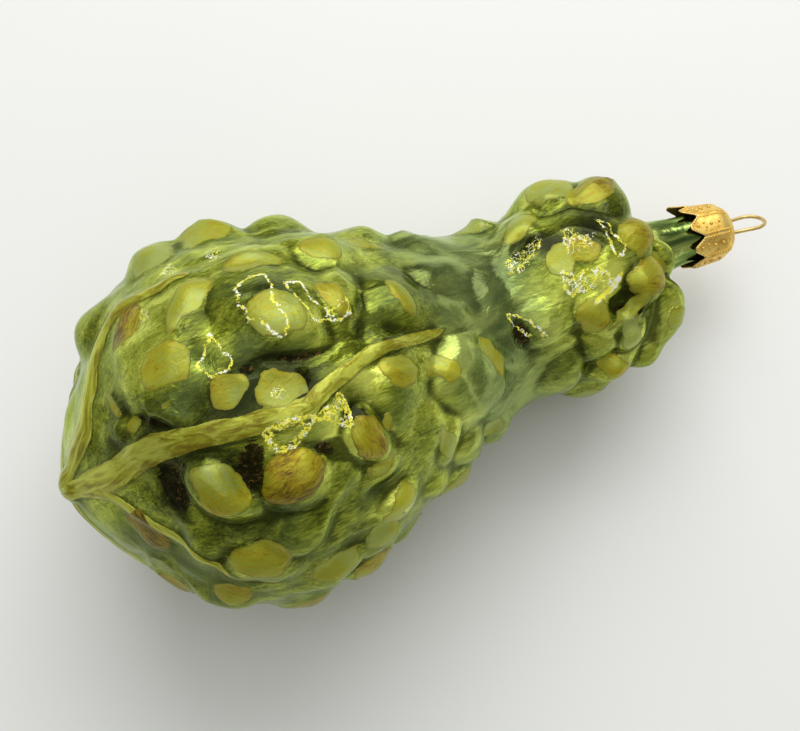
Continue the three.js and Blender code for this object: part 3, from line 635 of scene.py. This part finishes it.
def cap_beads(material):
    """The beads as one plain mesh, made by a node tree from one point for each bead."""
    places, sizes = bead_places()
    seeds = new_mesh("bead_points", lay_down(places), [])
    store(seeds, size=sizes)
    tree = bead_tree(material)
    modifier = seeds.modifiers.new("beads", "NODES")
    modifier.node_group = tree
    settings = {"Bead radius": BEADS["radius"] * MM, "Uneven": BEADS["uneven"], "Seed": BEADS["seed"]}
    for item in tree.interface.items_tree:
        if item.in_out == "INPUT" and item.name in settings:
            modifier[item.identifier] = settings[item.name]
    depsgraph = bpy.context.evaluated_depsgraph_get()
    mesh = bpy.data.meshes.new_from_object(seeds.evaluated_get(depsgraph))
    mesh.name = "cap_beads"
    seeds.modifiers.remove(modifier)
    bpy.data.objects.remove(seeds)
    mesh.polygons.foreach_set("use_smooth", [True] * len(mesh.polygons))
    return show("cap_beads", mesh)


# ---- the wire ----
def blend(t, low, high, start, end):
    """Runs straight from start to end while t runs from low to high."""
    return (high - t) / (high - low) * start + (t - low) / (high - low) * end


def smooth_route(points, steps):
    """A centripetal Catmull-Rom line through some points."""
    p = np.array(points, float)
    p = np.concatenate([[2 * p[0] - p[1]], p, [2 * p[-1] - p[-2]]])
    route = []
    for a, b, c, d in zip(p, p[1:], p[2:], p[3:]):
        t1 = np.linalg.norm(b - a) ** 0.5
        t2 = t1 + np.linalg.norm(c - b) ** 0.5
        t3 = t2 + np.linalg.norm(d - c) ** 0.5
        t = np.linspace(t1, t2, steps, endpoint=False)[:, None]
        ab, bc, cd = blend(t, 0, t1, a, b), blend(t, t1, t2, b, c), blend(t, t2, t3, c, d)
        abc, bcd = blend(t, 0, t2, ab, bc), blend(t, t1, t3, bc, cd)
        route.append(blend(t, t1, t2, abc, bcd))
    return np.concatenate([*route, p[-2:-1]])


def tube(name, route, radius, sides):
    """A round wire along a route, its ends closed."""
    ahead = np.gradient(route, axis=0)
    ahead /= np.linalg.norm(ahead, axis=1)[:, None]
    side = np.cross(ahead[0], (0, 0, 1.0))
    turn = np.arange(sides) * 2 * np.pi / sides
    rings = []
    for point, way in zip(route, ahead):
        side = side - way * (side @ way)
        side /= np.linalg.norm(side)
        up = np.cross(way, side)
        rings.append(point + radius * (np.cos(turn)[:, None] * side + np.sin(turn)[:, None] * up))
    points = np.concatenate(rings)
    faces = [tuple(range(sides - 1, -1, -1)), tuple(len(points) - sides + j for j in range(sides))]
    piece = new_mesh(name, lay_down(points), faces + between_rings(len(rings), sides))
    store(piece, own=points)
    return piece


def hanger():
    """The bent wire: up one leg, round the loop and down the other leg."""
    bends = np.radians(np.arange(-100, 101, 25))
    arc = [(WIRE["centre"] + WIRE["loop"] * math.cos(a), WIRE["loop"] * math.sin(a)) for a in bends]
    flat = [(s, -v) for s, v in WIRE_LEG] + arc + WIRE_LEG[::-1]
    route = smooth_route(round_axis(*np.array(flat).T, WIRE["turn"]), WIRE_STEPS)
    return tube("hanger_wire", route, WIRE["radius"], WIRE_SIDES)


# ---- nodes ----
class Nodes:
    """Adds nodes to one tree. A value is a number, a colour, a vector or another node's socket."""

    def __init__(self, tree):
        self.tree = tree

    def put(self, value, slot):
        if isinstance(value, bpy.types.NodeSocket):
            self.tree.links.new(value, slot)
        elif slot.type == "RGBA":
            slot.default_value = (*value, 1)
        else:
            slot.default_value = value

    def add(self, kind, inputs=(), **settings):
        """A node, with its inputs by name or number."""
        node = self.tree.nodes.new(kind)
        for name, value in settings.items():
            setattr(node, name, value)
        for name, value in dict(inputs).items():
            self.put(value, node.inputs[name])
        return node

    def math(self, operation, *values, clamp=False):
        node = self.add("ShaderNodeMath", enumerate(values), operation=operation, use_clamp=clamp)
        return node.outputs[0]

    def product(self, first, *others):
        for value in others:
            first = self.math("MULTIPLY", first, value)
        return first

    def total(self, first, *others):
        for value in others:
            first = self.math("ADD", first, value)
        return first

    def shares(self, on, **shares):
        """Each of some marks, times its share."""
        return [self.product(getattr(on, name), share) for name, share in shares.items()]

    def most(self, *values):
        return self.math("MAXIMUM", *values)

    def flipped(self, value):
        return self.math("SUBTRACT", 1.0, value)

    def away(self, value, middle):
        return self.math("ABSOLUTE", self.math("SUBTRACT", value, middle))

    def step(self, value, low, high):
        """Rises smoothly from 0 at low to 1 at high."""
        inputs = {"Value": value, "From Min": low, "From Max": high}
        return self.add("ShaderNodeMapRange", inputs, interpolation_type="SMOOTHSTEP").outputs["Result"]

    def below(self, value, low, high):
        """Falls smoothly from 1 at low to 0 at high."""
        return self.flipped(self.step(value, low, high))

    def attribute(self, name, kind="Fac"):
        return self.add("ShaderNodeAttribute", attribute_name=name).outputs[kind]

    def scaled(self, vector, scale):
        return self.add("ShaderNodeVectorMath", {0: vector, 1: scale}, operation="MULTIPLY").outputs[0]

    def noise(self, vector, scale, detail, roughness=0.5, distortion=0.0):
        """Noise with one scale, or with a scale for each axis."""
        if isinstance(scale, tuple):
            vector, scale = self.scaled(vector, scale), 1.0
        inputs = {"Vector": vector, "Scale": scale, "Detail": detail, "Roughness": roughness}
        return self.add("ShaderNodeTexNoise", {**inputs, "Distortion": distortion}).outputs["Fac"]

    def ramp(self, value, stops):
        node = self.add("ShaderNodeValToRGB", {"Fac": value})
        elements = node.color_ramp.elements
        while len(elements) < len(stops):
            elements.new(0.5)
        for element, (position, colour) in zip(elements, stops):
            element.position = position
            element.color = (*colour, 1)
        return node.outputs["Color"]

    def mix(self, share, a, b, blend="MIX"):
        node = self.add("ShaderNodeMix", data_type="RGBA", blend_type=blend)
        for number, value in ((0, share), (6, a), (7, b)):  # the sockets for colours
            self.put(value, node.inputs[number])
        return node.outputs[2]

    def relief(self, height, distance, strength):
        """A normal that dents the surface by a height times this distance in mm."""
        inputs = {"Height": height, "Distance": distance * MM, "Strength": strength}
        return self.add("ShaderNodeBump", inputs).outputs["Normal"]

    def surface(self, **inputs):
        """The material's shader and its output."""
        named = {name.replace("_", " "): value for name, value in inputs.items()}
        shader = self.add("ShaderNodeBsdfPrincipled", named)
        self.add("ShaderNodeOutputMaterial", {"Surface": shader.outputs[0]})


def new_material(name):
    material = bpy.data.materials.new(name)
    material.use_nodes = True
    material.node_tree.nodes.clear()
    return material, Nodes(material.node_tree)


def new_group(name, kind, inputs, outputs):
    """A node group with its named sockets, and the node that gives its inputs."""
    tree = bpy.data.node_groups.new(name, kind)
    for in_out, sockets in (("INPUT", inputs), ("OUTPUT", outputs)):
        for label, socket in sockets.items():
            tree.interface.new_socket(label, in_out=in_out, socket_type="NodeSocket" + socket)
    n = Nodes(tree)
    return tree, n, n.add("NodeGroupInput").outputs


def bead_tree(material):
    """Puts a small ball on every point, as large as the point's own size says."""
    sizes = {"Bead radius": "Float", "Uneven": "Float", "Seed": "Int"}
    geometry = {"Geometry": "Geometry"}
    tree, n, given = new_group("beads_on_points", "GeometryNodeTree", geometry | sizes, geometry)
    ball = n.add("GeometryNodeMeshUVSphere", {"Segments": 8, "Rings": 6, "Radius": 1.0})
    least, most = (n.math(way, 1.0, given["Uneven"]) for way in ("SUBTRACT", "ADD"))
    inputs = {2: least, 3: most, "Seed": given["Seed"]}
    vary = n.add("FunctionNodeRandomValue", inputs, data_type="FLOAT").outputs[1]
    size = n.add("GeometryNodeInputNamedAttribute", {"Name": "size"}, data_type="FLOAT").outputs[0]
    scale = n.product(vary, n.product(size, given["Bead radius"]))
    inputs = {"Points": given["Geometry"], "Instance": ball.outputs["Mesh"], "Scale": scale}
    balls = n.add("GeometryNodeInstanceOnPoints", inputs)
    real = n.add("GeometryNodeRealizeInstances", {0: balls.outputs[0]})
    dressed = n.add("GeometryNodeSetMaterial", {"Geometry": real.outputs[0], "Material": material})
    n.add("NodeGroupOutput", {0: dressed.outputs[0]})
    return tree


# ---- the glass's lacquer: colours as linear red, green and blue ----
LACQUER = [(0.36, (0.04, 0.052, 0.002)), (0.44, (0.125, 0.155, 0.008)), (0.5, (0.235, 0.28, 0.017)),
           (0.56, (0.37, 0.42, 0.042)), (0.66, (0.58, 0.63, 0.11))]
WAIST_GREEN = [(0.35, (0.1, 0.155, 0.055)), (0.62, (0.28, 0.37, 0.135))]
NECK_STRIPES = [(0.38, (0.025, 0.055, 0.012)), (0.49, (0.16, 0.26, 0.06)), (0.58, (0.6, 0.72, 0.18))]
# Painted shade in the hollows, dark and grainy.
HOLLOW_SHADE_TONES = [(0.5, (0.01, 0.008, 0.001)), (0.6, (0.06, 0.035, 0.008)), (0.68, (0.34, 0.2, 0.03))]
SPOT_PAINT = [(0.0, (0.33, 0.39, 0.1)), (0.28, (0.34, 0.365, 0.03)), (0.55, (0.36, 0.32, 0.012)),
              (0.78, (0.28, 0.19, 0.006)), (1.0, (0.1, 0.066, 0.004))]
RIB_PAINT = [(0.38, (0.22, 0.17, 0.007)), (0.47, (0.34, 0.335, 0.018)), (0.58, (0.53, 0.56, 0.075))]
# Painted highlights, yellow to white.
HIGHLIGHT_COLOURS = [(0.46, (0.95, 0.9, 0.08)), (0.57, (1.0, 1.0, 0.82))]
COOL_GREEN = (0.13, 0.2, 0.045)
# Painted shade in the creases.
CREASE_SHADE = (0.02, 0.026, 0.002)
# A pale painted reflection on the folds.
FOLD_REFLECTION = (0.36, 0.4, 0.16)
SPOT_RIM = (0.14, 0.115, 0.012)
BESIDE_RIB = (0.035, 0.042, 0.003)
# Painted shade and painted light, multiplied into the colour.
DIMMED = (0.22, 0.2, 0.1)
LIT = (1.7, 1.7, 1.5)

# Noises on the glass: scale per mm (along the gourd, then twice across it, or one for all three), detail,
# roughness and distortion.
NOISES = dict(
    broad=((0.06, 0.13, 0.13), 3, 0.5, 1.5),
    streaks=((0.17, 0.5, 0.5), 5, 0.62, 1.8),
    clouds=((0.075, 0.1, 0.1), 3, 0.55, 0.5),
    hairs=((0.5, 3.2, 3.2), 3, 0.6, 0.5),
    cool=((0.06, 0.085, 0.085), 2, 0.5, 0.7),
    neck_stripes=((0.03, 0.42, 0.42), 2),
    ragged=((0.5, 0.7, 0.7), 4, 0.65, 1.5),
    grains=((0.9, 1.3, 1.3), 4, 0.7, 1.0),
    ripple=((0.4, 0.5, 0.5), 2, 0.5, 0.5),
    wide_wobble=(0.22, 1),
    small_wobble=(1.1, 2),
    wide_tremble=(0.9, 2),
    small_tremble=(3.4, 2),
    wide_gaps=(0.75, 2),
    small_gaps=(2.6, 2, 0.7),
    crumbs=(1.0, 3, 0.6, 0.8),
    frayed=(1.7, 3, 0.65, 0.6),
    warmth=(0.8, 2),
)
# Noises along and across a spot's brush strokes.
BRUSHED = dict(
    brush=((0.42, 1.9, 1.0), 6, 0.76, 1.0),
    bristles=((0.8, 5.0, 1.0), 3, 0.7, 0.4),
    patch=((0.16, 0.2, 1.0), 1),
)
MARKS = ("cavity", "shade", "fold", "puddle", "spot", "tint", "rib", "rib_side")
MARKS += ("wrinkle", "wrinkled", "fringed", "peeled")


def marks_on_glass(n):
    """What the lacquer's parts read: the station, the marks kept on the mesh and the noises."""
    own = n.attribute("own", "Vector")
    stroke = n.attribute("stroke", "Vector")
    on = SimpleNamespace(station=n.add("ShaderNodeSeparateXYZ", {0: own}).outputs[0])
    for place, noises in ((own, NOISES), (stroke, BRUSHED)):
        for name, settings in noises.items():
            setattr(on, name, n.noise(place, *settings))
    for name in MARKS:
        setattr(on, name, n.attribute(name))
    on.neck = n.step(on.station, *STRIPES_FROM)
    return on


def green_lacquer(n, on):
    """Lacquer brushed over the silvering in streaks, calmer at the waist and striped at the neck."""
    # The tone carries the painted light and shade, a little darker in hollows and lighter on ridges.
    fields = n.shares(on, broad=0.36, streaks=0.32, hairs=0.32, cavity=0.05)
    tone = n.total(*fields, on.shade, -0.006)
    cool = n.step(on.cool, 0.46, 0.66)
    lacquer = n.mix(n.product(cool, 0.42), n.ramp(tone, LACQUER), COOL_GREEN)
    waist = n.product(n.step(on.station, *WAIST_FROM), n.below(on.station, *WAIST_TO))
    lacquer = n.mix(n.product(waist, 0.6), lacquer, n.ramp(on.broad, WAIST_GREEN))
    return n.mix(n.product(on.neck, 0.9), lacquer, n.ramp(on.neck_stripes, NECK_STRIPES))


def painted_shade_and_reflection(n, on, lacquer):
    """Painted shade in creases and hollows, grainy in the hollows, and pale painted reflections on folds."""
    deep = n.total(on.cavity, n.product(n.away(on.streaks, 0.5), 0.9))
    crease = n.below(deep, -0.45, -0.04)
    lacquer = n.mix(n.product(crease, 0.8), lacquer, CREASE_SHADE)
    hollow_dark = n.step(n.total(on.puddle, n.product(on.ragged, 4.5)), 2.7, 3.1)
    hollow_dark = n.product(hollow_dark, n.step(on.puddle, 0.05, 0.5))
    lacquer = n.mix(n.product(hollow_dark, 0.96), lacquer, n.ramp(on.grains, HOLLOW_SHADE_TONES))
    fold = n.product(n.step(on.fold, 0.72, 0.95), n.step(on.clouds, 0.4, 0.56))
    return n.mix(n.product(fold, 0.4), lacquer, FOLD_REFLECTION), n.most(crease, hollow_dark)


def paint(n, on, lacquer):
    """Painted ribs and spots over the lacquer, with the brush's strokes in them."""
    wobble = n.total(*n.shares(on, wide_wobble=2.4, small_wobble=0.55), -1.5)
    tint = n.total(on.tint, n.product(on.brush, 1.6), on.bristles, on.patch, -1.8)
    into = n.total(on.spot, wobble)
    spot = n.step(into, -0.04, 0.05)
    rim = n.product(spot, n.below(into, 0.06, 0.4))
    spot_paint = n.mix(n.product(rim, 0.5), n.ramp(tint, SPOT_PAINT), SPOT_RIM)
    parts = n.shares(on, station=0.25, rib_side=0.8, brush=0.6)
    flow = n.add("ShaderNodeCombineXYZ", enumerate(parts)).outputs[0]
    rib_brush = n.noise(flow, scale=1.0, detail=5, roughness=0.62, distortion=0.8)
    rib_paint = n.ramp(rib_brush, RIB_PAINT)
    into = n.total(on.rib, n.product(wobble, 0.5))
    rib = n.step(into, -0.05, 0.06)
    beside = n.product(n.below(n.away(into, -0.25), 0.05, 0.5), 0.5)
    colour = n.mix(beside, lacquer, BESIDE_RIB)
    colour = n.mix(n.product(rib, 0.92), colour, rib_paint)
    colour = n.mix(n.product(spot, n.step(on.brush, 0.2, 0.42)), colour, spot_paint)
    return colour, n.most(spot, n.product(rib, 0.85))


def shaded(n, on, colour):
    """Painted light and shade: lighter in some places, darker in others, the darkening less on paint."""
    spared = n.total(1.0, n.product(on.painted, -0.7))
    dim = n.math("MULTIPLY", n.product(on.shade, spared), -6.5, clamp=True)
    colour = n.mix(dim, colour, DIMMED, "MULTIPLY")
    return n.mix(n.math("MULTIPLY", on.shade, 4, clamp=True), colour, LIT, "MULTIPLY")


def painted_highlights(n, on):
    """Painted highlights: thin broken light lines, speckles, gleaming patches and a broken edge."""
    tremble = n.total(*n.shares(on, wide_tremble=1.3, small_tremble=0.7), -1.0)
    line = n.below(n.away(n.total(on.wrinkle, tremble), 0.0), 0.13, 0.28)
    line = n.product(line, n.step(on.wide_gaps, 0.36, 0.46), n.step(on.small_gaps, 0.4, 0.47))
    speckle = n.below(n.away(on.crumbs, 0.52), 0.012, 0.04)
    speckle = n.product(speckle, n.below(n.total(on.wrinkled, tremble), -0.2, 0.3))
    gleam = n.below(n.total(on.peeled, n.product(tremble, 0.8)), -0.35, 0.15)
    edge = n.below(n.away(n.total(on.fringed, tremble), -0.5), 0.4, 0.7)
    fringe = n.product(edge, n.step(on.frayed, 0.49, 0.54))
    highlight_colour = n.ramp(n.total(on.warmth, n.product(edge, -0.1)), HIGHLIGHT_COLOURS)
    return n.most(n.most(line, speckle), n.most(gleam, fringe)), highlight_colour


def lacquered_glass():
    material, n = new_material("lacquered_glass")
    on = marks_on_glass(n)
    lacquer, on.dull = painted_shade_and_reflection(n, on, green_lacquer(n, on))
    colour, on.painted = paint(n, on, lacquer)
    # Painted highlights take the place of the colour where they lie.
    highlight, highlight_colour = painted_highlights(n, on)
    metal = n.total(0.42, *n.shares(on, clouds=0.5, neck=0.4))
    metal = n.product(metal, n.flipped(n.most(n.product(on.painted, 0.45), highlight)))
    rough = n.total(0.25, *n.shares(on, painted=0.15, neck=-0.04, hairs=-0.1))
    coat = n.total(0.27, *n.shares(on, dull=-0.2, shade=0.8))
    strokes = n.product(on.painted, on.bristles, 0.2)
    height = n.total(on.ripple, *n.shares(on, painted=0.45, streaks=0.3, hairs=0.07), strokes)
    n.surface(
        Base_Color=n.mix(highlight, shaded(n, on, colour), highlight_colour), Metallic=metal, Roughness=rough,
        Specular_IOR_Level=0.3, Specular_Tint=(0.85, 1.0, 0.5),
        Coat_Weight=n.most(n.math("MINIMUM", coat, 0.3), 0.02), Coat_Roughness=0.03, Coat_IOR=1.45,
        Normal=n.relief(height, distance=0.25, strength=0.7),
    )
    return material


# ---- brass: colours from tarnished to bright ----
GOLD = [(0.25, (0.54, 0.31, 0.05)), (0.5, (0.92, 0.63, 0.15)), (0.75, (1.0, 0.81, 0.27))]
PALE = [(0.25, (0.4, 0.26, 0.07)), (0.5, (0.74, 0.56, 0.22)), (0.75, (0.92, 0.78, 0.4))]
WORN_LIP = (1.0, 0.82, 0.45)
# Painted shade inside the cap.
CAP_INSIDE_SHADE = (0.05, 0.03, 0.01)


def tarnish_group():
    """Uneven colour, roughness and fine dents that the stamped metal and the wire share."""
    inputs = {"Place": "Vector", "Amount": "Float"}
    outputs = {"Tone": "Float", "Roughness": "Float", "Height": "Float"}
    tree, n, given = new_group("brass_tarnish", "ShaderNodeTree", inputs, outputs)
    stain = n.noise(given["Place"], scale=0.45, detail=4, roughness=0.6, distortion=0.5)
    grain = n.noise(given["Place"], scale=2.6, detail=3, roughness=0.6)
    uneven_tone = n.total(stain, n.product(grain, 0.5), -0.75)
    tone = n.total(0.5, n.product(given["Amount"], uneven_tone))
    rough = n.total(0.27, n.product(given["Amount"], n.flipped(stain), 0.4))
    height = n.total(n.product(stain, 0.6), n.product(grain, 0.4))
    n.add("NodeGroupOutput", {"Tone": tone, "Roughness": rough, "Height": height})
    return tree


def brass(name, tarnish, stops, amount, on_points=True, sheet=False):
    """Brass that reads its place from the mesh's points, or else from the object itself."""
    material, n = new_material(name)
    if on_points:
        place = n.attribute("own", "Vector")
    else:
        place = n.scaled(n.add("ShaderNodeTexCoord").outputs["Object"], (1 / MM, 1 / MM, 1 / MM))
    group = n.add("ShaderNodeGroup", {"Place": place, "Amount": amount}, node_tree=tarnish)
    colour = n.ramp(group.outputs["Tone"], stops)
    rough = group.outputs["Roughness"]
    if sheet:
        lip = n.below(n.attribute("edge"), 0.05, 0.35)
        inside = n.attribute("inside")
        colour = n.mix(n.product(lip, 0.7), colour, WORN_LIP)
        # Painted shade: the cap's inside is made dark.
        colour = n.mix(n.product(inside, 0.88), colour, CAP_INSIDE_SHADE)
        rough = n.total(rough, n.product(inside, 0.3))
    dents = n.relief(group.outputs["Height"], distance=0.06, strength=0.8)
    n.surface(Base_Color=colour, Roughness=rough, Metallic=1.0, Normal=dents)
    return material


# ---- stage ----
TABLE = [(0.3, (0.855, 0.86, 0.835)), (0.7, (0.885, 0.89, 0.87))]
ROOM_LIGHT, ROOM_SEEN = 0.31, 0.72


def camera():
    data = bpy.data.cameras.new("camera")
    data.lens = CAMERA["lens"]
    data.sensor_width = 36
    data.clip_start = 0.01
    holder = show("camera", data)
    holder.location = CAMERA["place"]
    holder.rotation_euler = (math.radians(90 - CAMERA["elevation"]), 0, math.radians(CAMERA["azimuth"]))
    bpy.context.scene.camera = holder


def floor():
    """A pale table, 4 m wide, its top at 0."""
    material, n = new_material("table")
    blotches = n.noise(n.add("ShaderNodeTexCoord").outputs["Object"], scale=6.0, detail=2)
    n.surface(Base_Color=n.ramp(blotches, TABLE), Roughness=0.6)
    corners = np.array([(-2, -2, 0), (2, -2, 0), (2, 2, 0), (-2, 2, 0)], float)
    plane = new_mesh("table", corners, [(0, 1, 2, 3)])
    plane.data.materials.append(material)


def area(name, place, aim, size, power):
    """A soft lamp that faces a point."""
    data = bpy.data.lights.new(name, "AREA")
    data.shape = "RECTANGLE"
    data.size, data.size_y = size
    data.energy = power
    holder = show(name, data)
    holder.location = place
    x, y, z = (a - b for a, b in zip(aim, place))
    holder.rotation_euler = (math.atan2(math.hypot(x, y), -z), 0, math.atan2(y, x) - math.pi / 2)


def lights():
    scene = bpy.context.scene
    scene.view_settings.view_transform = "Standard"
    world = bpy.data.worlds.new("studio")
    scene.world = world
    world.use_nodes = True
    n = Nodes(world.node_tree)
    background = n.tree.nodes["Background"]
    n.put((1, 1, 0.97), background.inputs["Color"])
    n.put(ROOM_LIGHT, background.inputs["Strength"])
    # The room itself is seen lighter than it shines, so that the table's far edge hardly shows.
    seen = n.add("ShaderNodeBackground", {"Strength": ROOM_SEEN}).outputs[0]
    to_camera = n.add("ShaderNodeLightPath").outputs["Is Camera Ray"]
    either = n.add("ShaderNodeMixShader", {0: to_camera, 1: background.outputs[0], 2: seen})
    n.put(either.outputs[0], n.tree.nodes["World Output"].inputs["Surface"])
    area("window", place=(0.3, 0.5, 0.6), aim=(0.02, 0, 0.03), size=(0.9, 0.7), power=5.2)
    area("ceiling", place=(0.05, 0.05, 0.9), aim=(0, 0, 0.03), size=(1.1, 1.1), power=3.0)


camera()
floor()
lights()

tarnish = tarnish_group()
glass = glass_body()
glass.data.materials.append(lacquered_glass())
shell = cap_shell()
shell.data.materials.append(brass("stamped_brass", tarnish, GOLD, 1.0, sheet=True))
beads = cap_beads(brass("bead_brass", tarnish, GOLD, 0.7, on_points=False))
wire = hanger()
wire.data.materials.append(brass("wire_brass", tarnish, PALE, 0.6))
pieces = (
    (glass, "glass_body", "glass"),
    (shell, "cap", "cap_metal"),
    (beads, "cap", "cap_metal"),
    (wire, "wire_hanger", "wire"),
)
for piece, node, slot in pieces:
    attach(piece, "root")
    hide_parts(node)
